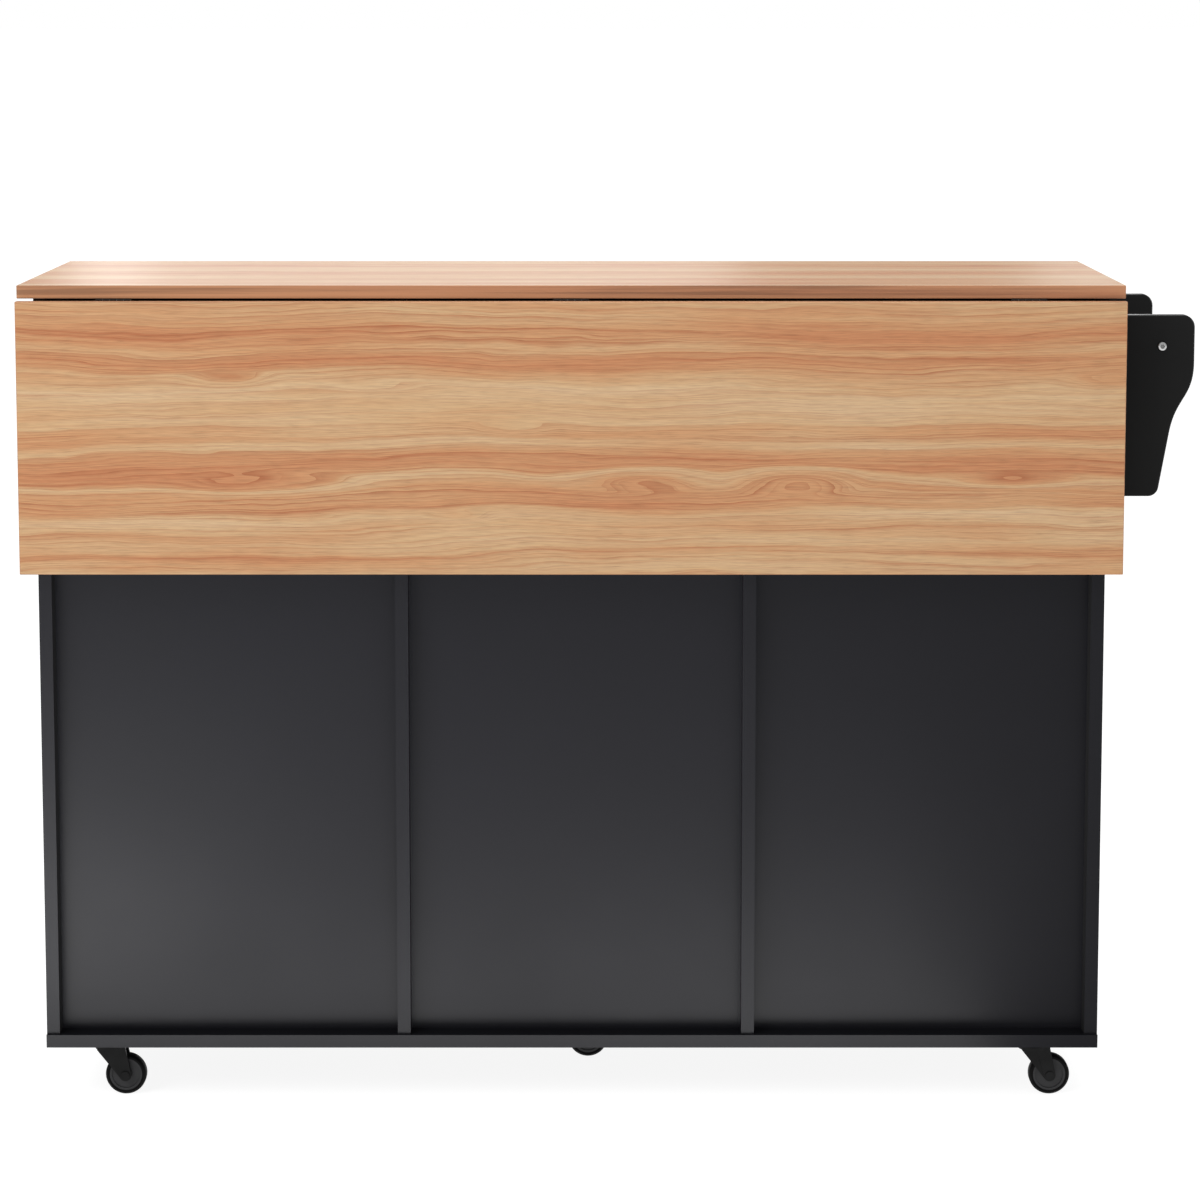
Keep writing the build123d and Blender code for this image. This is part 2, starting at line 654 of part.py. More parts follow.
def make_hub(x, y):
    """A wheel's hub: a boss on the axle, a dished web and a rim, turned about the axle."""
    half = WHEEL_WIDTH / 2
    rim_half = half - HUB_RIM_INSET
    web_half = half - HUB_DISH
    section = Plane(origin=(x + CASTER_TRAIL, y, WHEEL_RADIUS), x_dir=X_WAY, z_dir=MINUS_Z_WAY)
    with BuildPart() as hub:
        with BuildSketch(section):
            with BuildLine() as edge:
                Polyline((AXLE + AXLE_PLAY, 0), (AXLE + AXLE_PLAY, half), (HUB_BOSS, half),
                         (HUB_BOSS, web_half), (HUB_RADIUS - HUB_RIM, web_half),
                         (HUB_RADIUS - HUB_RIM, rim_half), (HUB_RADIUS, rim_half), (HUB_RADIUS, 0))
                mirror(edge.line, about=Plane.XZ)
            make_face()
        revolve(axis=Axis((x + CASTER_TRAIL, y, WHEEL_RADIUS), Y_WAY))
    return hub.part


def make_tyre(x, y):
    """A wheel's tyre: a ring with bevelled shoulders."""
    start = Plane(origin=(x + CASTER_TRAIL, y - WHEEL_WIDTH / 2, WHEEL_RADIUS), z_dir=Y_WAY)
    with BuildPart() as tyre:
        with BuildSketch(start):
            Circle(WHEEL_RADIUS)
        extrude(amount=WHEEL_WIDTH)
        chamfer(tyre.edges(), TYRE_SHOULDER)
        with BuildSketch(start):
            Circle(HUB_RADIUS + TYRE_BOND)
        extrude(amount=WHEEL_WIDTH, mode=Mode.SUBTRACT)
    return tyre.part


os.makedirs("parts", exist_ok=True)

# Cabinet boards
bottom_y = (LEAF_PLANE - BOTTOM_LIP, DOOR_PLANE)
save("bottom_panel", make_board((LEFT_SIDE, RIGHT_SIDE), bottom_y, (BOTTOM_LOW, PANEL_LOW)))
save("left_side_panel", make_upright(LEFT_SIDE, [(LEFT_BAY_LOW, -1)], [(LEFT_BAY_LOW, -1)]))
save("left_divider", make_upright(
    LEFT_BAY_HIGH, [(LEFT_BAY_HIGH, 1), (MIDDLE_BAY_LOW, -1)],
    [(LEFT_BAY_HIGH, 1)], [(LEFT_BAY_HIGH, 1)],
))
save("right_divider", make_upright(
    MIDDLE_BAY_HIGH, [(MIDDLE_BAY_HIGH, 1), (RIGHT_BAY_LOW, -1)],
    [(RIGHT_BAY_LOW, -1)], [(RIGHT_BAY_LOW, -1)],
))
save("right_side_panel", make_upright(RIGHT_BAY_HIGH, [(RIGHT_BAY_HIGH, 1)], [(RIGHT_BAY_HIGH, 1)]))
save("left_back_panel", make_back_panel(LEFT_BAY_LOW, LEFT_BAY_HIGH))
save("middle_back_panel", make_back_panel(MIDDLE_BAY_LOW, MIDDLE_BAY_HIGH))
save("right_back_panel", make_back_panel(RIGHT_BAY_LOW, RIGHT_BAY_HIGH))

# Fixed shelves below the drawers and in the open bay, and loose shelves on pins behind the doors
fixed_y = (BAY_BACK, DOOR_PLANE)
fixed_z = (DRAWER_SHELF_LOW, DRAWER_SHELF_HIGH)
loose_y = (BAY_BACK, DOOR_PLANE - SHELF_SETBACK)
loose_z = (LOOSE_SHELF_LOW, LOOSE_SHELF_LOW + BOARD)
save("left_drawer_shelf", make_board((LEFT_BAY_LOW, LEFT_BAY_HIGH), fixed_y, fixed_z))
save("right_drawer_shelf", make_board((RIGHT_BAY_LOW, RIGHT_BAY_HIGH), fixed_y, fixed_z))
middle_x = (MIDDLE_BAY_LOW, MIDDLE_BAY_HIGH)
save("middle_shelves", make_board(middle_x, fixed_y, fixed_z), make_board(middle_x, fixed_y, loose_z))
save(
    "loose_shelves",
    make_board((LEFT_BAY_LOW + SHELF_PLAY, LEFT_BAY_HIGH - SHELF_PLAY), loose_y, loose_z),
    make_board((RIGHT_BAY_LOW + SHELF_PLAY, RIGHT_BAY_HIGH - SHELF_PLAY), loose_y, loose_z),
)
bay_walls = ((LEFT_BAY_LOW, 1), (LEFT_BAY_HIGH, -1), (RIGHT_BAY_LOW, 1), (RIGHT_BAY_HIGH, -1))
save("shelf_pins", *[
    make_bar((wall - way * SHELF_PIN_DEPTH, y, z), (way, 0, 0), SHELF_PIN, SHELF_PIN_DEPTH + SHELF_PIN_REACH)
    for wall, way in bay_walls
    for y, z in shelf_pin_places()
])

# Worktop, drop leaf and its hinges, which sit at the middle and near the ends
worktop_x = (WORKTOP_LOW_X, WORKTOP_HIGH_X)
worktop_y = (WORKTOP_EDGE, DOOR_PLANE + DOOR_SIDE_OVERHANG)
leaf_y = (LEAF_FACE - LEAF_THICKNESS, LEAF_FACE)
leaf_z = (LEAF_HIGH - LEAF_WIDTH, LEAF_HIGH)
leaf_hinge_places = [
    WORKTOP_LOW_X + LEAF_HINGE_INSET,
    (WORKTOP_LOW_X + WORKTOP_HIGH_X) / 2,
    WORKTOP_HIGH_X - LEAF_HINGE_INSET,
]
save("worktop", make_board(worktop_x, worktop_y, (PANEL_HIGH, WORKTOP_HIGH), EDGE_EASE))
save("drop_leaf", make_board(worktop_x, leaf_y, leaf_z, EDGE_EASE))
save("worktop_hinge_plates", *[leaf_hinge_plate(x, Y_WAY, X_WAY, 0) for x in leaf_hinge_places])
save("leaf_hinge_plates", *[leaf_hinge_plate(x, MINUS_Z_WAY, MINUS_X_WAY, 1) for x in leaf_hinge_places])

# Leaf struts, beside the dividers' outer faces
save("left_leaf_strut", make_strut(LEFT_BAY_HIGH, -1))
save("right_leaf_strut", make_strut(RIGHT_BAY_LOW, 1))
save("strut_pivot_bolts", make_strut_bolt(LEFT_BAY_HIGH, -1), make_strut_bolt(RIGHT_BAY_LOW, 1))
save("leaf_rest_blocks", make_rest_block(LEFT_BAY_HIGH), make_rest_block(RIGHT_BAY_LOW))

# Drawers, doors and the runners and hinge plates that hold them
make_drawer("left", LEFT_BAY_LOW, LEFT_BAY_HIGH)
make_drawer("right", RIGHT_BAY_LOW, RIGHT_BAY_HIGH)
save("drawer_runners", *[make_runner(wall, way) for wall, way in bay_walls])
make_door("left", LEFT_BAY_LOW, LEFT_BAY_HIGH)
make_door("right", RIGHT_BAY_HIGH, RIGHT_BAY_LOW)
door_pins = ((LEFT_BAY_LOW + HINGE_GAP / 2, MINUS_Z_WAY), (RIGHT_BAY_HIGH - HINGE_GAP / 2, Z_WAY))
save("door_hinge_plates", *[
    door_hinge_plate(pin_x, height, way, 0) for pin_x, way in door_pins for height in door_hinge_heights()
])
leaf_pins = [
    make_bar((x - LEAF_HINGE_LENGTH / 2, LEAF_PIN_Y, LEAF_PIN_Z), X_WAY, LEAF_HINGE_PIN, LEAF_HINGE_LENGTH)
    for x in leaf_hinge_places
]
door_hinge_pins = [
    make_bar(
        (pin_x, door_pin_y(), height - way[2] * DOOR_HINGE_LENGTH / 2), way, DOOR_HINGE_PIN, DOOR_HINGE_LENGTH
    )
    for pin_x, way in door_pins
    for height in door_hinge_heights()
]
save("hinge_pins", *leaf_pins, *door_hinge_pins)

# Side rack on the right side panel
rack_far = DOOR_PLANE - RACK_INSET
rack_near = LEAF_PLANE + RACK_INSET
rack_inside = (rack_near + RACK_BOARD, rack_far - RACK_BOARD)
rack_shelf_low = PANEL_HIGH - RACK_DROP - RACK_HEIGHT + RACK_SHELF_LIFT
rack_shelf_high = rack_shelf_low + RACK_SHELF_BOARD
rod_x = RIGHT_SIDE + TOWEL_ROD_REACH
rod_z = PANEL_HIGH - RACK_DROP - TOWEL_ROD_DROP
save("rack_near_bracket", make_bracket(rack_inside[0]))
save("rack_far_bracket", make_bracket(rack_far))
save("rack_shelf", make_board(
    (RIGHT_SIDE, RIGHT_SIDE + RACK_SHELF_DEPTH), rack_inside, (rack_shelf_low, rack_shelf_high)
))
save("rack_guard_rail", make_bar(
    (RIGHT_SIDE + RACK_RAIL_REACH, rack_inside[0], rack_shelf_high + RACK_RAIL_LIFT), Y_WAY,
    RACK_RAIL, rack_inside[1] - rack_inside[0],
))
save("towel_rod", make_towel_rod(*rack_inside))
save(
    "towel_rod_bolts",
    make_rod_bolt((rod_x, rack_near, rod_z), Y_WAY), make_rod_bolt((rod_x, rack_far, rod_z), MINUS_Y_WAY),
)

# Casters under the corners and the middle of the bottom panel
caster_x = RIGHT_SIDE - CASTER_INSET_X
back_y = bottom_y[0] + CASTER_INSET_Y
front_y = bottom_y[1] - CASTER_INSET_Y
caster_places = {
    "back_left": (-caster_x, back_y),
    "back_right": (caster_x, back_y),
    "middle": (0, (back_y + front_y) / 2),
    "front_left": (-caster_x, front_y),
    "front_right": (caster_x, front_y),
}
save("caster_plates", *[make_caster_plate(x, y) for x, y in caster_places.values()])
for place, (x, y) in caster_places.items():
    save(f"{place}_fork", make_fork(x, y), make_axle(x, y))
    save(f"{place}_hub", make_hub(x, y))
    save(f"{place}_tyre", make_tyre(x, y))
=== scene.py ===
import json
import math

import bpy
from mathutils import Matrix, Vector


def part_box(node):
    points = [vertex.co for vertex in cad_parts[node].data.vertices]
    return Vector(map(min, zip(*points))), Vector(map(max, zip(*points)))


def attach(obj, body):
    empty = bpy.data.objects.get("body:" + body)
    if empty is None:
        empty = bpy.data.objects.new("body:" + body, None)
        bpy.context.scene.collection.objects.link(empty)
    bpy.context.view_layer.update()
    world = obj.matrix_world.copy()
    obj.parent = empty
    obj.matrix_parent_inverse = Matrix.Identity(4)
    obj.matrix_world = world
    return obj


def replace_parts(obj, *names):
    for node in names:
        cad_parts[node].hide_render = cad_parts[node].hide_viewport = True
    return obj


# A rolling kitchen island with a drop leaf, in metres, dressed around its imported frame.
# +X runs along the worktop to the side rack, -Y is the drop-leaf side and +Z is up.

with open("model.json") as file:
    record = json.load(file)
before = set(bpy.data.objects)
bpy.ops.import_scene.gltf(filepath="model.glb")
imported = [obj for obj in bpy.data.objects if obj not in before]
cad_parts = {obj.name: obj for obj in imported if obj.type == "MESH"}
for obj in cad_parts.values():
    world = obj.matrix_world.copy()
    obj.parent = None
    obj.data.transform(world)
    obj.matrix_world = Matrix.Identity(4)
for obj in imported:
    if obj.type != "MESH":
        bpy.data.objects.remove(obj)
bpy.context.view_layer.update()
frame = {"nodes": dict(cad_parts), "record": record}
nodes = frame["nodes"]

# Nodes that share a finish or a light
CASTER_NAMES = ("back_left", "back_right", "middle", "front_left", "front_right")
SIDE_PANELS = ("left_side_panel", "right_side_panel")
LEAF_SIDE_BOARDS = (
    "bottom_panel", "left_divider", "right_divider", "left_back_panel", "middle_back_panel",
    "right_back_panel",
)
DOOR_SIDE_BOARDS = (
    "left_drawer_shelf", "right_drawer_shelf", "left_drawer_front", "right_drawer_front", "left_door",
    "right_door",
)
SHELVES = ("middle_shelves", "loose_shelves")
BRACKETS = ("rack_near_bracket", "rack_far_bracket")
RACK_RODS = ("towel_rod", "rack_guard_rail")
ZINC_NODES = (
    "shelf_pins", "hinge_pins", "door_hinge_plates", "left_door_hinge_plates", "right_door_hinge_plates",
    "drawer_runners", "left_drawer_slides", "right_drawer_slides",
)
LEAF_SIDE = LEAF_SIDE_BOARDS + SIDE_PANELS
RACK_SIDE = BRACKETS + RACK_RODS + ("rack_shelf", "right_side_panel")
DOOR_SIDE = DOOR_SIDE_BOARDS + LEAF_SIDE + SHELVES

# Camera, which looks at the leaf side from a little above the worktop
CAMERA_PLACE = (0.0327, -4.9207, 1.2530)
CAMERA_TILT = math.radians(82.003)
SENSOR_WIDTH = 36.0
IMAGE_SIDE = 1200.0
FOCAL_PIXELS = 4120.0

# Floor and sky
FLOOR_REACH = 600.0
FLOOR_CLOUD = 3.0
FLOOR_GREYS = (0.24, 0.26)
FLOOR_ROUGHNESS = 0.9
FLOOR_GLOW = 0.90
HORIZON_SKY = 0.22
ZENITH_SKY = 1.10
WHITE = (1.0, 1.0, 1.0, 1.0)

# Height of the points that the floor's lights face, right above them
BOUNCE_TARGET = 1.0
# Soft lights: place, the point that each faces, width, height, power and the nodes lit, if not all
KEY_LIGHT = ("key", (-2.6, -3.4, 3.0), (0.0, -0.2, 0.5), 2.2, 2.2, 107.0)
SOFTBOXES = (
    ("overhead", (0.0, 0.3, 3.4), (0.0, 0.0, 0.0), 2.4, 1.6, 37.0, None),
    ("rear", (-0.372, 3.6, 1.75), (-0.2, 0.0, 0.95), 1.376, 1.1, 4.9, None),
    ("rear_left", (-0.99, 3.6, 1.75), (-0.6, 0.0, 0.95), 0.15, 1.1, 0.75, None),
    ("rear_right", (1.05, 3.6, 1.75), (0.6, 0.0, 0.95), 0.22, 1.1, 0.8, None),
    ("rack_rear", (1.2, 3.6, 1.3), (0.66, 0.0, 0.92), 0.9, 0.7, 0.4, BRACKETS),
    ("rack_side", (3.4, 0.4, 1.7), (0.6, 0.0, 0.6), 2.0, 2.0, 46.0, RACK_SIDE),
    ("door_key", (2.2, 3.6, 2.4), (0.0, 0.2, 0.45), 2.2, 2.2, 80.0, DOOR_SIDE),
    ("door_bounce", (0.2, 1.0, 0.004), (0.2, 1.0, BOUNCE_TARGET), 2.4, 0.9, 40.0, DOOR_SIDE),
)
# Light that the floor throws up on the panels under the leaf: place, rise, width, depth and power
FLOOR_BOUNCES = (
    ("floor_bounce", -0.52, -0.80, 0.008, 2.06, 0.90, 33.0),
    ("left_bounce", -0.95, -1.35, 0.006, 0.80, 1.30, 23.5),
    ("far_bounce", -0.15, -2.20, 0.010, 1.50, 1.20, 7.5),
)

# The middle of a noise, where most of its values lie
NOISE_LOW = 0.3
NOISE_HIGH = 0.7
# Where a ramp's new stop starts, before it is given its own position
NEW_STOP = 0.5
# Sockets of a mix node that take and give colours
MIX_FIRST = 6
MIX_SECOND = 7
MIX_RESULT = 2

# Printed wood: the sheet's repeat, and how far the grain bends at each scale
PRINT_REPEAT = 0.42
GRAIN_DROP = 0.046
GRAIN_BENDS = (
    ((1.4, 4.0, 0.0), 2.0, 0.056), ((3.6, 15.0, 0.0), 3.0, 0.030), ((16.0, 80.0, 0.0), 2.0, 0.0040),
)
# Salmon share of the print's bands, by their height as a share of the repeat
PRINT_BANDS = (
    (0.000, 0.35), (0.050, 0.62), (0.075, 0.30), (0.118, 0.45), (0.148, 0.25), (0.180, 0.80), (0.222, 0.70),
    (0.252, 0.30), (0.285, 0.92), (0.320, 0.75), (0.346, 0.30), (0.385, 0.62), (0.420, 0.24), (0.500, 0.20),
    (0.545, 0.55), (0.580, 0.92), (0.614, 0.55), (0.651, 0.90), (0.690, 0.55), (0.720, 0.55), (0.760, 0.30),
    (0.830, 0.20), (0.900, 0.75), (1.000, 0.40),
)
# Knots in the print: place along the board and up the sheet, half length, half height, and the grain's lift
KNOTS = (
    (-0.389, 0.222, 0.070, 0.014, 0.012), (-0.215, 0.212, 0.085, 0.012, 0.009),
    (-0.065, 0.166, 0.060, 0.014, 0.010), (-0.350, 0.102, 0.150, 0.020, 0.017),
    (0.078, 0.111, 0.110, 0.020, -0.016), (0.254, 0.110, 0.100, 0.026, -0.022),
    (0.615, 0.220, 0.080, 0.016, 0.012), (-0.126, 0.066, 0.050, 0.010, 0.008),
    (0.500, 0.106, 0.110, 0.014, 0.010),
)
# Power that rounds off the lift towards a knot's rim
KNOT_ROUNDING = 2.0
# Colours from the pale bands to the salmon ones, by the print's shade
PRINT_COLOURS = (
    (0.44, (0.556, 0.384, 0.224)), (0.59, (0.529, 0.337, 0.178)), (0.73, (0.505, 0.269, 0.129)),
    (0.88, (0.472, 0.209, 0.096)),
)
# What the bands add to the shade, and the streaks with their scale, detail, roughness and share
BAND_SHARE = 0.44
STREAKS = (((2.4, 20.0, 0.0), 2.0, 0.5, 0.58), ((2.2, 120.0, 0.0), 3.0, 0.6, 0.30))
# Growth rings: how many to the metre, how far they wander, how sharply they end and how strong they are
RINGS = ((74.0, 0.012, 4.8, 1.0), (185.0, 0.006, 3.6, 0.9), (330.0, 0.004, 2.6, 0.6))
RING_COLOUR = (0.315, 0.088, 0.034)
RING_STEP = 3.77
RING_WANDERS_ALONG = 0.7
RING_WANDERS_ACROSS = 0.45
RING_FADES = (3.6, 1.0, 0.0)
RING_STRENGTHS = ((0.38, 0.05), (0.60, 1.0))
PALE_RINGS = 0.28
SALMON_RINGS = 1.0
# Fibres and pores, in features to the metre, and how they shade the print
FIBRES = (34.0, 800.0, 0.0)
FIBRE_SHADES = ((0.30, 0.85), (0.52, 1.0), (0.74, 1.09))
PORES = (46.0, 1500.0, 0.0)
PORE_SHADES = ((0.60, 1.0), (0.74, 0.80))
WOOD_ROUGHNESS = (0.38, 0.31)
WOOD_SPECULAR = 0.28

# Edge banding of the wood boards: its streaks and clouds along and across, and its colours and shades
BANDING_STREAKS = (2.2, 170.0)
BANDING_CLOUDS = (0.8, 40.0)
BANDING_COLOURS = ((0.35, (0.480, 0.242, 0.119)), (0.65, (0.397, 0.169, 0.079)))
BANDING_SHADES = ((0.36, 0.62), (0.52, 1.0), (0.70, 1.12))
BANDING_ROUGHNESS = (0.50, 0.42)

# Textures of the other materials in features to the metre, with their colours, darkest shares and roughness
BOARD_PEARL = 1500.0
BOARD_CLOUD = 5.0
BOARD_DARKEST = 0.86
BOARD_UNEVEN = 0.03
STEEL_BRUSH = (12.0, 1400.0)
STEEL_TONE = (0.44, 0.44, 0.45)
STEEL_DARKEST = 0.84
STEEL_ROUGHNESS = (0.36, 0.24)
BOLT_GRAIN = 500.0
ZINC_MOTTLE = 160.0
ZINC_GRAIN = 900.0
ZINC_COLOURS = ((0.29, 0.29, 0.285), (0.39, 0.39, 0.39))
ZINC_ROUGHNESS = (0.42, 0.28)
PAINT_PEEL = 900.0
PAINT_CLOUD = 60.0
PAINT_COLOURS = ((0.0034, 0.0034, 0.0034), (0.0056, 0.0056, 0.0057))
PAINT_ROUGHNESS = (0.50, 0.42)
PAINT_SPECULAR = 0.18
PLASTIC_GRAIN = 1100.0
PLASTIC_CLOUD = 45.0
PLASTIC_DARKEST = 0.8
PLASTIC_ROUGHER = 0.06
PLASTIC_SMOOTHER = 0.04

# Screws: the radius and height of their heads, and how far they sit from the middle of what they hold
TURNED_SIDES = 32
SHARP_ANGLE = math.radians(30)
CROSS_ARM = 0.3
CASTER_SCREW = (0.0040, 0.0016)
CASTER_SCREWS_X = 0.0225
CASTER_SCREWS_Y = 0.0155
CASTER_SHEET = 0.0025
HINGE_SCREW = (0.0034, 0.0003)
HINGE_SHEET = 0.0012
LEAF_HINGE_PLACES = (-0.52, 0.0, 0.52)
LEAF_SCREW_OFFSET = 0.012
LEAF_SCREW_REACH = 0.0150
DOOR_SCREW = (0.0034, 0.0001)
DOOR_HINGE_HALF = 0.030
DOOR_HINGE_SEAT = 0.0015
DOOR_SCREW_OFFSET = 0.018
DOOR_SCREW_REACH = 0.0105
HANDLE_SCREW = (0.0045, 0.0018)
HANDLE_POST_OFFSET = 0.064

# Tyre: its sides, and its section as places across the wheel and from the axle
TYRE_SIDES = 80
TYRE_SECTION = (
    (-0.0080, 0.0190), (-0.0084, 0.0204), (-0.0090, 0.0208), (-0.0090, 0.0214), (-0.0085, 0.0218),
    (-0.0080, 0.0227), (-0.0070, 0.0235), (-0.0055, 0.0239), (0.0, 0.0240), (0.0055, 0.0239),
    (0.0070, 0.0235), (0.0080, 0.0227), (0.0085, 0.0218), (0.0090, 0.0214), (0.0090, 0.0208),
    (0.0084, 0.0204), (0.0080, 0.0190),
)

# How far a face has to look along an axis to count as facing that way
FACING = 0.9
# Places of a board's materials on its mesh
FACE_SLOT = 0
EDGE_SLOT = 1
END_SLOT = 2

X_AXIS = 0
Y_AXIS = 1
Z_AXIS = 2
AXES = (X_AXIS, Y_AXIS, Z_AXIS)
X_WAY = Vector((1, 0, 0))
Y_WAY = Vector((0, 1, 0))
Z_WAY = Vector((0, 0, 1))


class Graph:
    """A material's node tree, with one short call for each kind of node that the materials use."""

    def __init__(self, name):
        self.material = bpy.data.materials.new(name)
        self.material.use_nodes = True
        self.tree = self.material.node_tree
        self.shader = self.tree.nodes["Principled BSDF"]
        self.place = self.node("ShaderNodeTexCoord").outputs["Object"]

    def feed(self, socket, value):
        """Links an output to a socket, or sets the socket's own value."""
        if isinstance(value, bpy.types.NodeSocket):
            self.tree.links.new(value, socket)
        else:
            socket.default_value = value

    def node(self, kind, inputs=None, **settings):
        """Adds a node, sets its settings and feeds its inputs."""
        made = self.tree.nodes.new(kind)
        for key, value in settings.items():
            setattr(made, key, value)
        for key, value in (inputs or {}).items():
            self.feed(made.inputs[key], value)
        return made

    def math(self, operation, first, second=0.0, third=0.0):
        inputs = {0: first, 1: second, 2: third}
        return self.node("ShaderNodeMath", inputs, operation=operation).outputs[0]

    def vector(self, operation, first, second, output=0):
        return self.node("ShaderNodeVectorMath", {0: first, 1: second}, operation=operation).outputs[output]

    def noise(self, scale, detail=2.0, roughness=0.5, place=None):
        """Noise from 0 to 1, with that many features to the metre along each axis."""
        scaled = self.vector("MULTIPLY", place or self.place, scale)
        inputs = {"Vector": scaled, "Scale": 1.0, "Detail": detail, "Roughness": roughness}
        return self.node("ShaderNodeTexNoise", inputs).outputs["Fac"]

    def point(self, x, y):
        return self.node("ShaderNodeCombineXYZ", {0: x, 1: y, 2: 0.0}).outputs[0]

    def ramp(self, value, stops):
        """Colours along a value, given as (position, colour) pairs."""
        made = self.node("ShaderNodeValToRGB", {"Fac": value})
        elements = made.color_ramp.elements
        while len(elements) < len(stops):
            elements.new(NEW_STOP)
        for element, (position, colour) in zip(elements, stops):
            element.position = position
            element.color = (*colour, 1.0)
        return made.outputs["Color"]

    def grey_ramp(self, value, stops):
        return self.ramp(value, [(position, (grey,) * 3) for position, grey in stops])

    def spread(self, noise, low, high):
        """Runs from one colour to another over the middle of a noise."""
        return self.ramp(noise, ((NOISE_LOW, low), (NOISE_HIGH, high)))

    def grey_spread(self, noise, low, high):
        return self.spread(noise, (low,) * 3, (high,) * 3)

    def mix(self, share, first, second, blend="MIX"):
        """Mixes two colours by a share, or blends them in another way."""
        made = self.node("ShaderNodeMix", data_type="RGBA", blend_type=blend)
        self.feed(made.inputs[0], share)
        for number, value in ((MIX_FIRST, first), (MIX_SECOND, second)):
            self.feed(made.inputs[number], (*value, 1.0) if isinstance(value, tuple) else value)
        return made.outputs[MIX_RESULT]

    def shade(self, colour, grey):
        return self.mix(1.0, colour, grey, "MULTIPLY")

    def bump(self, height, strength, distance):
        inputs = {"Height": height, "Strength": strength, "Distance": distance}
        self.feed(self.shader.inputs["Normal"], self.node("ShaderNodeBump", inputs).outputs["Normal"])

    def surface(self, colour, roughness, **values):
        """Feeds the shader's colour and roughness, and sets its other sockets by name."""
        self.feed(self.shader.inputs["Base Color"], colour)
        self.feed(self.shader.inputs["Roughness"], roughness)
        for key, value in values.items():
            self.feed(self.shader.inputs[key.replace("_", " ")], value)
        return self.material


def even(count):
    """The scale of a texture that is the same along each axis."""
    return (count,) * 3


def lengthwise(axis, along, across):
    """The scale of a grain that runs along one axis."""
    return tuple(along if other == axis else across for other in AXES)


def darker(tone, share):
    return tuple(share * value for value in tone)


# Materials
def wood_flow(graph, sheet, height):
    """The height on the printed sheet, bent as the grain bends, with a swirl round each knot."""
    flow = graph.math("SUBTRACT", height, GRAIN_DROP)
    for scale, detail, reach in GRAIN_BENDS:
        flow = graph.math("MULTIPLY_ADD", graph.noise(scale, detail, place=sheet), reach, flow)
    for x, z, long, high, lift in KNOTS:
        apart = graph.vector("SUBTRACT", sheet, (x, z, 0.0))
        share = graph.vector("MULTIPLY", apart, (1.0 / long, 1.0 / high, 0.0))
        square = graph.vector("DOT_PRODUCT", share, share, "Value")
        inside = graph.math("MAXIMUM", graph.math("SUBTRACT", 1.0, square), 0.0)
        mound = graph.math("POWER", inside, KNOT_ROUNDING)
        flow = graph.math("MULTIPLY_ADD", mound, lift, flow)
    return flow


def growth_rings(graph, x, flow, count, wander, sharpness):
    """Lines along the grain that rise slowly and end sharply, each with a strength of its own."""
    grain = graph.point(x, flow)
    drift = graph.noise((RING_WANDERS_ALONG, RING_WANDERS_ACROSS * count, 0.0), place=grain)
    ring = graph.math("MULTIPLY", graph.math("MULTIPLY_ADD", drift, wander, flow), count)
    late = graph.math("POWER", graph.math("FRACT", ring), sharpness)
    lane = graph.point(x, graph.math("MULTIPLY", graph.math("FLOOR", ring), RING_STEP))
    strength = graph.grey_ramp(graph.noise(RING_FADES, place=lane), RING_STRENGTHS)
    return graph.math("MULTIPLY", late, strength)


def make_wood_face():
    """Printed wood with its figure along X: pale and salmon bands, growth rings, knots, fibres and pores."""
    graph = Graph("wood_face")
    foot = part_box("drop_leaf")[0]
    parts = graph.node("ShaderNodeSeparateXYZ", {0: graph.place}).outputs
    across = graph.math("ADD", parts["Y"], parts["Z"])
    height = graph.math("PINGPONG", graph.math("SUBTRACT", across, foot.y + foot.z), PRINT_REPEAT)
    sheet = graph.point(parts["X"], height)
    flow = wood_flow(graph, sheet, height)
    grain = graph.point(parts["X"], flow)
    bands = graph.grey_ramp(graph.math("DIVIDE", flow, PRINT_REPEAT), PRINT_BANDS)
    bands.node.color_ramp.interpolation = "EASE"
    tone = graph.math("MULTIPLY", bands, BAND_SHARE)
    for scale, detail, roughness, share in STREAKS:
        tone = graph.math("MULTIPLY_ADD", graph.noise(scale, detail, roughness, grain), share, tone)
    colour = graph.ramp(tone, PRINT_COLOURS)
    lines = 0.0
    for count, wander, sharpness, strength in RINGS:
        rings = growth_rings(graph, parts["X"], flow, count, wander, sharpness)
        lines = graph.math("MAXIMUM", graph.math("MULTIPLY", rings, strength), lines)
    showing = graph.math("MULTIPLY_ADD", bands, SALMON_RINGS - PALE_RINGS, PALE_RINGS)
    colour = graph.mix(graph.math("MULTIPLY", lines, showing), colour, RING_COLOUR)
    fibre = graph.noise(FIBRES, roughness=0.6, place=sheet)
    pore = graph.noise(PORES, detail=1.0, place=sheet)
    colour = graph.shade(colour, graph.grey_ramp(fibre, FIBRE_SHADES))
    colour = graph.shade(colour, graph.grey_ramp(pore, PORE_SHADES))
    graph.bump(fibre, strength=0.06, distance=0.0004)
    gloss = graph.grey_spread(fibre, *WOOD_ROUGHNESS)
    return graph.surface(colour, gloss, Specular_IOR_Level=WOOD_SPECULAR)


def make_wood_edge(name, axis):
    """The darker banding on the edges of the wood boards, with streaks along an axis."""
    graph = Graph(name)
    streak = graph.noise(lengthwise(axis, *BANDING_STREAKS), detail=3.0, roughness=0.6)
    cloud = graph.noise(lengthwise(axis, *BANDING_CLOUDS))
    colour = graph.shade(graph.ramp(cloud, BANDING_COLOURS), graph.grey_ramp(streak, BANDING_SHADES))
    graph.bump(streak, strength=0.05, distance=0.0004)
    return graph.surface(colour, graph.grey_spread(streak, *BANDING_ROUGHNESS))


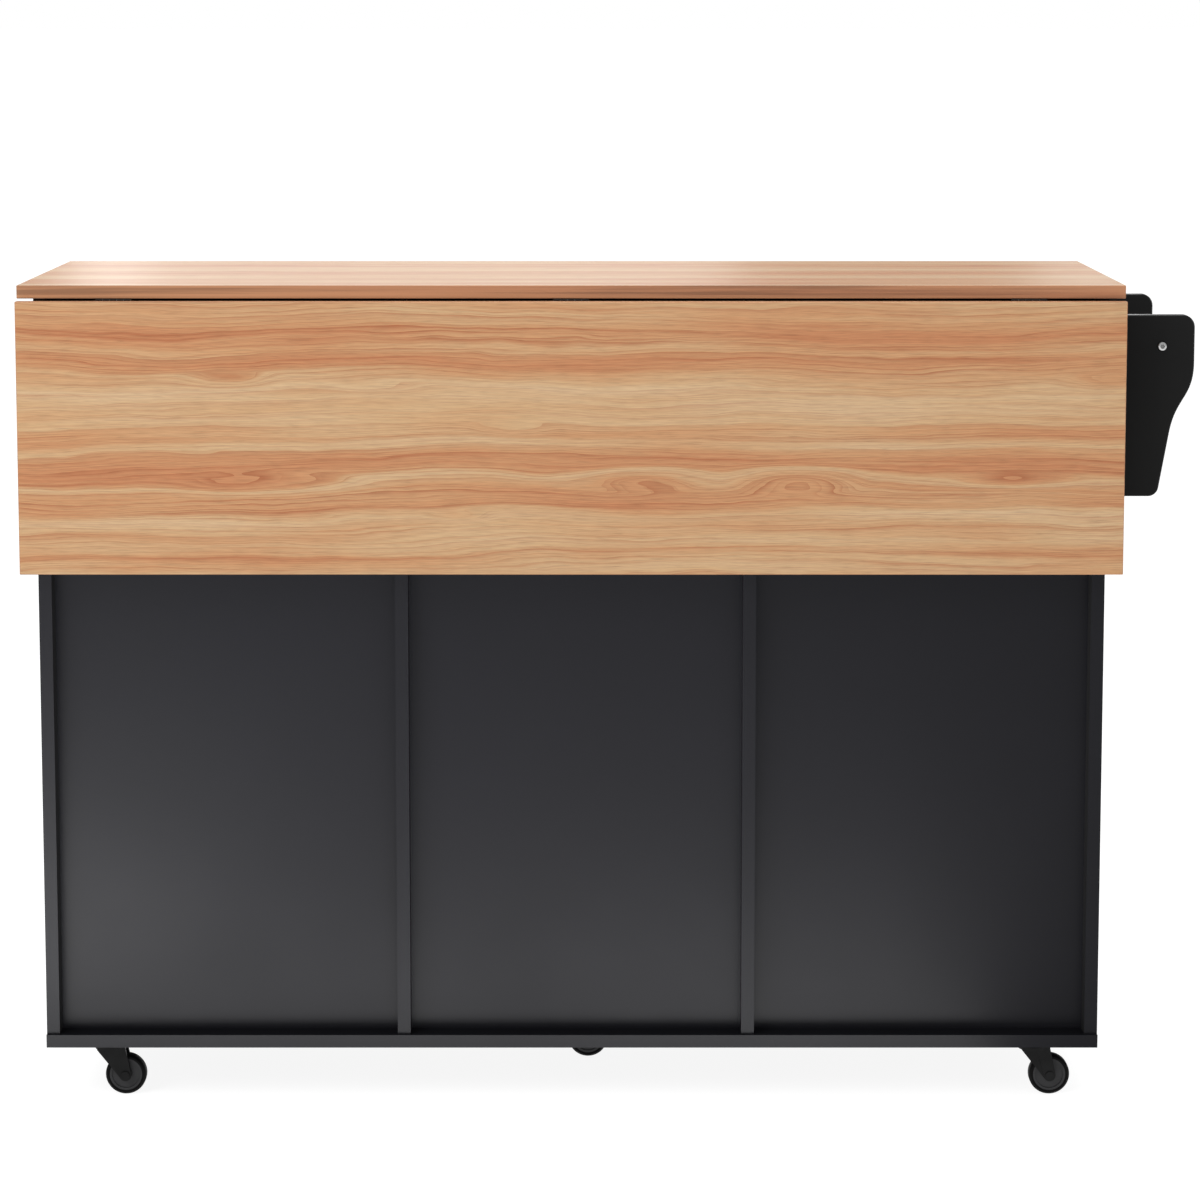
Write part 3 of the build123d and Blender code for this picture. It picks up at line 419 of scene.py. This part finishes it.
def make_black_board(name, tone, roughness, specular):
    """Black melamine board with a fine pearl texture."""
    graph = Graph(name)
    pearl = graph.noise(even(BOARD_PEARL), roughness=0.55)
    cloud = graph.noise(even(BOARD_CLOUD), detail=3.0)
    colour = graph.spread(cloud, darker(tone, BOARD_DARKEST), tone)
    gloss = graph.grey_spread(cloud, roughness + BOARD_UNEVEN, roughness - BOARD_UNEVEN)
    graph.bump(pearl, strength=0.10, distance=0.0002)
    return graph.surface(colour, gloss, Specular_IOR_Level=specular)


def make_brushed_steel(name, scale, tone=STEEL_TONE):
    """Steel brushed along the axis whose scale is smallest."""
    graph = Graph(name)
    brush = graph.noise(scale, detail=3.0, roughness=0.6)
    colour = graph.spread(brush, darker(tone, STEEL_DARKEST), tone)
    graph.bump(brush, strength=0.06, distance=0.0002)
    return graph.surface(colour, graph.grey_spread(brush, *STEEL_ROUGHNESS), Metallic=1.0)


def make_zinc():
    """Zinc-plated sheet, a little mottled."""
    graph = Graph("zinc")
    mottle = graph.noise(even(ZINC_MOTTLE), detail=3.0, roughness=0.6)
    colour = graph.spread(mottle, *ZINC_COLOURS)
    graph.bump(graph.noise(even(ZINC_GRAIN)), strength=0.05, distance=0.0002)
    return graph.surface(colour, graph.grey_spread(mottle, *ZINC_ROUGHNESS), Metallic=1.0)


def make_black_metal():
    """Black powder coat with its fine orange peel."""
    graph = Graph("black_metal")
    cloud = graph.noise(even(PAINT_CLOUD))
    colour = graph.spread(cloud, *PAINT_COLOURS)
    graph.bump(graph.noise(even(PAINT_PEEL)), strength=0.15, distance=0.0003)
    gloss = graph.grey_spread(cloud, *PAINT_ROUGHNESS)
    return graph.surface(colour, gloss, Specular_IOR_Level=PAINT_SPECULAR)


def make_plastic(name, tone, roughness, specular):
    """Moulded plastic with a fine spark-eroded texture."""
    graph = Graph(name)
    cloud = graph.noise(even(PLASTIC_CLOUD))
    colour = graph.spread(cloud, darker(tone, PLASTIC_DARKEST), tone)
    gloss = graph.grey_spread(cloud, roughness + PLASTIC_ROUGHER, roughness - PLASTIC_SMOOTHER)
    graph.bump(graph.noise(even(PLASTIC_GRAIN)), strength=0.12, distance=0.0002)
    return graph.surface(colour, gloss, Specular_IOR_Level=specular)


WOOD_FACE = make_wood_face()
WOOD_EDGE = make_wood_edge("wood_edge", X_AXIS)
WOOD_END = make_wood_edge("wood_end", Y_AXIS)
LEAF_END = make_wood_edge("leaf_end", Z_AXIS)
BLACK_BOARD = make_black_board("black_board", (0.0060, 0.0060, 0.0076), roughness=0.31, specular=0.10)
BLACK_EDGE = make_black_board("black_edge", (0.0064, 0.0064, 0.0080), roughness=0.30, specular=0.10)
MATT_BOARD = make_black_board("matt_board", (0.0105, 0.0105, 0.0105), roughness=0.62, specular=0.10)
# Side panels: the same black melamine made lighter, a painted sheen in place of the reflection that its low
# specular takes away
SIDE_BOARD_PAINTED_SHEEN = make_black_board("side_board_painted_sheen", (0.0115, 0.0115, 0.0120), roughness=0.62, specular=0.02)
BRACKET_EDGE = make_black_board("bracket_edge", (0.0110, 0.0110, 0.0110), roughness=0.22, specular=0.20)
DRAWER_BOARD = make_black_board("drawer_board", (0.022, 0.022, 0.0235), roughness=0.55, specular=0.35)
STEEL_ALONG_X = make_brushed_steel("steel_along_x", lengthwise(X_AXIS, *STEEL_BRUSH))
STEEL_ALONG_Y = make_brushed_steel("steel_along_y", lengthwise(Y_AXIS, *STEEL_BRUSH))
STEEL_ALONG_Z = make_brushed_steel("steel_along_z", lengthwise(Z_AXIS, *STEEL_BRUSH))
BOLT_STEEL = make_brushed_steel("bolt_steel", even(BOLT_GRAIN), tone=(0.60, 0.60, 0.60))
# Darker steel for the rod bolts' hex recesses: painted shade, as the recess is the same steel as the head
BOLT_RECESS_PAINTED_SHADE = make_brushed_steel("bolt_recess_painted_shade", even(BOLT_GRAIN), tone=(0.22, 0.22, 0.22))
ZINC = make_zinc()
# Black powder coat; in the recesses of the zinc screws and pivot bolts the same black is painted shade
BLACK_METAL_AND_RECESS_SHADE = make_black_metal()
BLACK_PLASTIC = make_plastic("black_plastic", (0.012, 0.012, 0.0125), roughness=0.48, specular=0.30)
HUB_PLASTIC = make_plastic("hub_plastic", (0.029, 0.029, 0.0305), roughness=0.42, specular=0.25)
TYRE_RUBBER = make_plastic("tyre_rubber", (0.0040, 0.0040, 0.0040), roughness=0.55, specular=0.10)


# Finishes of the CAD nodes
def dress(name, *materials, face_axis=None):
    """Gives a node its materials.

    With a face axis, the first goes on the faces, the second on the edges and a third on the ends along X.
    """
    mesh = nodes[name].data
    mesh.materials.clear()
    for material in materials:
        mesh.materials.append(material)
    if face_axis is not None:
        for polygon in mesh.polygons:
            if abs(polygon.normal[face_axis]) > FACING:
                polygon.material_index = FACE_SLOT
            elif len(materials) > END_SLOT and abs(polygon.normal.x) > FACING:
                polygon.material_index = END_SLOT
            else:
                polygon.material_index = EDGE_SLOT


def thin_axis(name):
    """The axis along which a board is thinnest."""
    low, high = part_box(name)
    size = high - low
    return min(AXES, key=lambda axis: size[axis])


dress("worktop", WOOD_FACE, WOOD_EDGE, WOOD_END, face_axis=Z_AXIS)
dress("drop_leaf", WOOD_FACE, WOOD_EDGE, LEAF_END, face_axis=Y_AXIS)
for name in SIDE_PANELS:
    dress(name, SIDE_BOARD_PAINTED_SHEEN, BLACK_EDGE, face_axis=thin_axis(name))
for name in LEAF_SIDE_BOARDS + DOOR_SIDE_BOARDS:
    dress(name, BLACK_BOARD, BLACK_EDGE, face_axis=thin_axis(name))
for name in SHELVES:
    dress(name, BLACK_BOARD, BLACK_EDGE, face_axis=Z_AXIS)
for name in BRACKETS:
    dress(name, MATT_BOARD, BRACKET_EDGE, face_axis=Y_AXIS)
dress("rack_shelf", MATT_BOARD)
for name in ZINC_NODES:
    dress(name, ZINC)
for name in ("worktop_hinge_plates", "leaf_hinge_plates", "caster_plates"):
    dress(name, BLACK_METAL_AND_RECESS_SHADE)
for name in RACK_RODS:
    dress(name, STEEL_ALONG_Y)
for side in ("left", "right"):
    dress(f"{side}_drawer_box", DRAWER_BOARD)
    dress(f"{side}_drawer_handle", STEEL_ALONG_X)
    dress(f"{side}_door_handle", STEEL_ALONG_Z)
    dress(f"{side}_leaf_strut", BLACK_METAL_AND_RECESS_SHADE)
dress("leaf_rest_blocks", BLACK_PLASTIC)
for place in CASTER_NAMES:
    dress(f"{place}_fork", BLACK_METAL_AND_RECESS_SHADE)
    dress(f"{place}_hub", HUB_PLASTIC)


# Small turned pieces
def round_outline(angle):
    """A circle's share of its radius, which is the same all round."""
    return 1.0


def hex_outline(angle):
    """How far a hexagon's side is from its middle, as a share of its corners' distance."""
    corner = math.pi / 3
    return math.cos(corner / 2) / math.cos(angle % corner - corner / 2)


def cross_outline(angle):
    """How far the side of a cross recess is from its middle, as a share of its arms' length."""
    beside, along = sorted((abs(math.cos(angle)), abs(math.sin(angle))))
    arm = 1.0 / along if beside < CROSS_ARM * along else CROSS_ARM / beside
    return max(arm, CROSS_ARM / along)


# Heads as shares of their radius and height, from the seat out and into the recess
PAN_HEAD = (
    (1.00, 0.00, round_outline), (1.00, 0.35, round_outline), (0.88, 0.80, round_outline),
    (0.66, 1.00, round_outline), (0.60, 1.00, cross_outline), (0.42, 0.30, cross_outline),
)
FLUSH_HEAD = (
    (1.00, 0.00, round_outline), (1.00, 0.80, round_outline), (0.94, 1.00, round_outline),
    (0.62, 1.00, cross_outline), (0.52, 0.10, cross_outline),
)
# Bolts as radii and heights in metres, from the end of the shank to the bottom of the recess
ROD_BOLT = (
    (0.0030, -0.0250, round_outline), (0.0030, 0.0000, round_outline), (0.0050, 0.0000, round_outline),
    (0.0050, 0.0020, round_outline), (0.0047, 0.0027, round_outline), (0.0041, 0.0030, round_outline),
    (0.0028, 0.0030, hex_outline), (0.0026, 0.0012, hex_outline),
)
PIVOT_BOLT = (
    (0.0030, -0.0100, round_outline), (0.0030, 0.0000, round_outline), (0.0050, 0.0000, round_outline),
    (0.0050, 0.0010, round_outline), (0.0030, 0.0010, round_outline), (0.0030, 0.0064, round_outline),
    (0.0060, 0.0064, round_outline), (0.0060, 0.0084, round_outline), (0.0057, 0.0091, round_outline),
    (0.0050, 0.0094, round_outline), (0.0032, 0.0094, hex_outline), (0.0030, 0.0074, hex_outline),
)


class Turned:
    """Forms that are each turned about an axis of their own and joined in one mesh."""

    def __init__(self, sides=TURNED_SIDES):
        self.sides = sides
        self.points = []
        self.faces = []
        self.tones = []

    def add_face(self, corners, tone):
        self.faces.append(corners)
        self.tones.append(tone)

    def add_rings(self, seat, way, rings):
        """Adds a ring of points for each radius, height and outline, and gives the rings' first points."""
        turn = way.to_track_quat("Z", "Y").to_matrix()
        starts = []
        for radius, height, outline in rings:
            starts.append(len(self.points))
            for number in range(self.sides):
                angle = 2 * math.pi * number / self.sides
                reach = radius * outline(angle)
                corner = Vector((reach * math.cos(angle), reach * math.sin(angle), height))
                self.points.append(seat + turn @ corner)
        return starts

    def add_band(self, low, high, tone=0):
        """Joins two rings by a band of faces."""
        for number in range(self.sides):
            after = (number + 1) % self.sides
            self.add_face((low + number, low + after, high + after, high + number), tone)

    def add_head(self, seat, way, rings):
        """Adds a closed form along an axis from its seat. Its recess takes the second material, a darker one
        that paints the shade in the recess.
        """
        starts = self.add_rings(seat, way, rings)
        # Recess faces take the second material, which paints the shade inside the recess
        tones = [int(outline is not round_outline) for radius, height, outline in rings]
        for low, high, tone in zip(starts, starts[1:], tones):
            self.add_band(low, high, tone)
        self.add_face(tuple(reversed(range(starts[0], starts[0] + self.sides))), 0)
        self.add_face(tuple(range(starts[-1], starts[-1] + self.sides)), tones[-1])

    def add_screw(self, seat, way, size, shares):
        """Adds a screw's head of a radius and height."""
        radius, height = size
        self.add_head(seat, way, [(radius * out, height * up, outline) for out, up, outline in shares])

    def add_ring(self, seat, way, section):
        """Adds a closed ring round an axis from its section of places along and from the axis."""
        starts = self.add_rings(seat, way, [(radius, along, round_outline) for along, radius in section])
        for low, high in zip(starts, starts[1:] + starts[:1]):
            self.add_band(low, high)

    def place(self, name, body, slot, *materials):
        """Makes the mesh a piece that rides on a body."""
        mesh = bpy.data.meshes.new(name)
        mesh.from_pydata(self.points, [], self.faces)
        for material in materials:
            mesh.materials.append(material)
        mesh.polygons.foreach_set("material_index", self.tones)
        mesh.shade_smooth()
        mesh.set_sharp_from_angle(angle=SHARP_ANGLE)
        piece = bpy.data.objects.new(name, mesh)
        bpy.context.scene.collection.objects.link(piece)
        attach(piece, body)
        return piece


joints = frame["record"]["behaviour"]["joints"]
joint_places = {joint["name"]: Vector(joint["pos_m"]) for joint in joints if "pos_m" in joint}


def middle(name):
    """The middle of a node's box."""
    low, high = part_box(name)
    return (low + high) / 2


def add_caster_screws():
    """Four screws under each caster's plate."""
    seat_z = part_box("caster_plates")[1].z - CASTER_SHEET
    screws = Turned()
    for place in CASTER_NAMES:
        pivot = joint_places[f"{place}_swivel"]
        for x in (pivot.x - CASTER_SCREWS_X, pivot.x + CASTER_SCREWS_X):
            for y in (pivot.y - CASTER_SCREWS_Y, pivot.y + CASTER_SCREWS_Y):
                screws.add_screw(Vector((x, y, seat_z)), -Z_WAY, CASTER_SCREW, PAN_HEAD)
    screws.place("caster_screws", "cabinet", "steel", ZINC, BLACK_METAL_AND_RECESS_SHADE)


def add_leaf_hinge_screws():
    """Countersunk screws in the hinge plates under the worktop and on the leaf."""
    pin = joint_places["leaf_fold"]
    worktop_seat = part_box("worktop")[0].z - HINGE_SHEET
    leaf_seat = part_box("drop_leaf")[1].y + HINGE_SHEET
    worktop_screws = Turned()
    leaf_screws = Turned()
    for hinge in LEAF_HINGE_PLACES:
        for x in (hinge - LEAF_SCREW_OFFSET, hinge + LEAF_SCREW_OFFSET):
            under = Vector((x, pin.y + LEAF_SCREW_REACH, worktop_seat))
            behind = Vector((x, leaf_seat, pin.z - LEAF_SCREW_REACH))
            worktop_screws.add_screw(under, -Z_WAY, HINGE_SCREW, FLUSH_HEAD)
            leaf_screws.add_screw(behind, Y_WAY, HINGE_SCREW, FLUSH_HEAD)
    worktop_screws.place("worktop_hinge_screws", "cabinet", "steel", ZINC, BLACK_METAL_AND_RECESS_SHADE)
    leaf_screws.place("leaf_hinge_screws", "leaf", "steel", ZINC, BLACK_METAL_AND_RECESS_SHADE)


def add_door_screws():
    """Flush screws in the doors' hinge plates, and the screws of the handles behind doors and drawers."""
    fixed = Turned()
    for side, way in (("left", X_WAY), ("right", -X_WAY)):
        pin = joint_places[f"{side}_door_swing"]
        low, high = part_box(f"{side}_door_hinge_plates")
        seat = way * (DOOR_HINGE_SEAT - HINGE_SHEET)
        y = pin.y - DOOR_SCREW_REACH
        door = Turned()
        for hinge in (low.z + DOOR_HINGE_HALF, high.z - DOOR_HINGE_HALF):
            for z in (hinge - DOOR_SCREW_OFFSET, hinge + DOOR_SCREW_OFFSET):
                place = Vector((pin.x, y, z))
                fixed.add_screw(place - seat, way, DOOR_SCREW, FLUSH_HEAD)
                door.add_screw(place + seat, -way, DOOR_SCREW, FLUSH_HEAD)
        door.place(f"{side}_door_hinge_screws", f"{side}_door_body", "steel", ZINC, BLACK_METAL_AND_RECESS_SHADE)
        fronts = (("door", f"{side}_door", Z_WAY), ("drawer", f"{side}_drawer_front", X_WAY))
        for piece, front, along in fronts:
            handle = middle(f"{side}_{piece}_handle")
            handle.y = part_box(front)[0].y
            screws = Turned()
            for post in (-HANDLE_POST_OFFSET, HANDLE_POST_OFFSET):
                screws.add_screw(handle + post * along, -Y_WAY, HANDLE_SCREW, PAN_HEAD)
            screws.place(f"{side}_{piece}_handle_screws", f"{side}_{piece}_body", "steel", ZINC, BLACK_METAL_AND_RECESS_SHADE)
    fixed.place("door_hinge_screws", "cabinet", "steel", ZINC, BLACK_METAL_AND_RECESS_SHADE)


def add_bolts():
    """The recessed bolts of the towel rod and of the struts' pivots."""
    rod = middle("towel_rod")
    rod_bolts = Turned()
    rod_bolts.add_head(Vector((rod.x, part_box("rack_near_bracket")[0].y, rod.z)), -Y_WAY, ROD_BOLT)
    rod_bolts.add_head(Vector((rod.x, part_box("rack_far_bracket")[1].y, rod.z)), Y_WAY, ROD_BOLT)
    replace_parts(rod_bolts.place("rod_bolts", "cabinet", "steel", BOLT_STEEL, BOLT_RECESS_PAINTED_SHADE), "towel_rod_bolts")
    pivot = joint_places["left_strut_swing"]
    pivot_bolts = Turned()
    pivot_bolts.add_head(Vector((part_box("left_divider")[0].x, pivot.y, pivot.z)), -X_WAY, PIVOT_BOLT)
    pivot_bolts.add_head(Vector((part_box("right_divider")[1].x, pivot.y, pivot.z)), X_WAY, PIVOT_BOLT)
    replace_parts(pivot_bolts.place("pivot_bolts", "cabinet", "steel", ZINC, BLACK_METAL_AND_RECESS_SHADE), "strut_pivot_bolts")


def add_tyres():
    """Tyres with rounded shoulders and a raised rib on each side wall."""
    for place in CASTER_NAMES:
        tyre = Turned(TYRE_SIDES)
        tyre.add_ring(joint_places[f"{place}_roll"], Y_WAY, TYRE_SECTION)
        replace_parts(tyre.place(f"{place}_tread", f"{place}_wheel", "tyre", TYRE_RUBBER), f"{place}_tyre")


add_caster_screws()
add_leaf_hinge_screws()
add_door_screws()
add_bolts()
add_tyres()


# Camera, light and floor
def add_camera():
    """The camera at the photograph's viewing angle."""
    camera = bpy.data.cameras.new("camera")
    camera.sensor_width = SENSOR_WIDTH
    camera.lens = SENSOR_WIDTH * FOCAL_PIXELS / IMAGE_SIDE
    holder = bpy.data.objects.new("camera", camera)
    holder.location = CAMERA_PLACE
    holder.rotation_euler = (CAMERA_TILT, 0.0, 0.0)
    bpy.context.scene.collection.objects.link(holder)
    bpy.context.scene.camera = holder


def gather(name, members):
    """A collection of nodes, for a light to reach or to be stopped by."""
    made = bpy.data.collections.new(name)
    for member in members:
        made.objects.link(nodes[member])
    return made


def add_softbox(name, place, target, width, height, power, only=None, blockers=None, mirrored=True):
    """A soft light that faces a target.

    It lights all or only some nodes, all or only some cast its shadows, and glossy faces may mirror it.
    """
    light = bpy.data.lights.new(name, "AREA")
    light.shape = "RECTANGLE"
    light.size = width
    light.size_y = height
    light.energy = power
    holder = bpy.data.objects.new(name, light)
    holder.location = place
    holder.rotation_euler = (Vector(target) - Vector(place)).to_track_quat("-Z", "Y").to_euler()
    holder.visible_camera = False
    holder.visible_glossy = mirrored
    if only:
        holder.light_linking.receiver_collection = gather(f"{name}_receivers", only)
    if blockers:
        holder.light_linking.blocker_collection = gather(f"{name}_blockers", blockers)
    bpy.context.scene.collection.objects.link(holder)


def add_lights():
    """The key light, the soft lights round the island and the light that the floor throws up."""
    add_softbox(*KEY_LIGHT, mirrored=False)
    for softbox in SOFTBOXES:
        add_softbox(*softbox)
    for name, x, y, rise, width, depth, power in FLOOR_BOUNCES:
        target = (x, y, BOUNCE_TARGET)
        add_softbox(name, (x, y, rise), target, width, depth, power, LEAF_SIDE, blockers=("drop_leaf",))


def add_floor():
    """A pale floor that runs out of sight."""
    graph = Graph("floor")
    colour = graph.grey_spread(graph.noise(even(FLOOR_CLOUD)), *FLOOR_GREYS)
    glow = {"Emission_Color": WHITE, "Emission_Strength": FLOOR_GLOW}
    material = graph.surface(colour, FLOOR_ROUGHNESS, Specular_IOR_Level=0.0, **glow)
    mesh = bpy.data.meshes.new("floor")
    corners = [(x * FLOOR_REACH, y * FLOOR_REACH, 0.0) for x, y in ((-1, -1), (1, -1), (1, 1), (-1, 1))]
    mesh.from_pydata(corners, [], [(0, 1, 2, 3)])
    mesh.materials.append(material)
    floor = bpy.data.objects.new("floor", mesh)
    bpy.context.scene.collection.objects.link(floor)


def add_world():
    """Soft light from all round, strongest from above, before a white backdrop."""
    world = bpy.data.worlds.new("studio")
    world.use_nodes = True
    tree = world.node_tree
    light = tree.nodes["Background"]
    light.inputs["Color"].default_value = WHITE
    backdrop = tree.nodes.new("ShaderNodeBackground")
    backdrop.inputs["Color"].default_value = WHITE
    direction = tree.nodes.new("ShaderNodeTexCoord")
    parts = tree.nodes.new("ShaderNodeSeparateXYZ")
    grade = tree.nodes.new("ShaderNodeMapRange")
    grade.inputs["To Min"].default_value = HORIZON_SKY
    grade.inputs["To Max"].default_value = ZENITH_SKY
    path = tree.nodes.new("ShaderNodeLightPath")
    choice = tree.nodes.new("ShaderNodeMixShader")
    tree.links.new(direction.outputs["Generated"], parts.inputs[0])
    tree.links.new(parts.outputs["Z"], grade.inputs["Value"])
    tree.links.new(grade.outputs["Result"], light.inputs["Strength"])
    tree.links.new(path.outputs["Is Camera Ray"], choice.inputs[0])
    tree.links.new(light.outputs[0], choice.inputs[1])
    tree.links.new(backdrop.outputs[0], choice.inputs[2])
    tree.links.new(choice.outputs[0], tree.nodes["World Output"].inputs["Surface"])
    bpy.context.scene.world = world


add_camera()
add_world()
add_floor()
add_lights()
bpy.context.scene.view_settings.view_transform = "Standard"
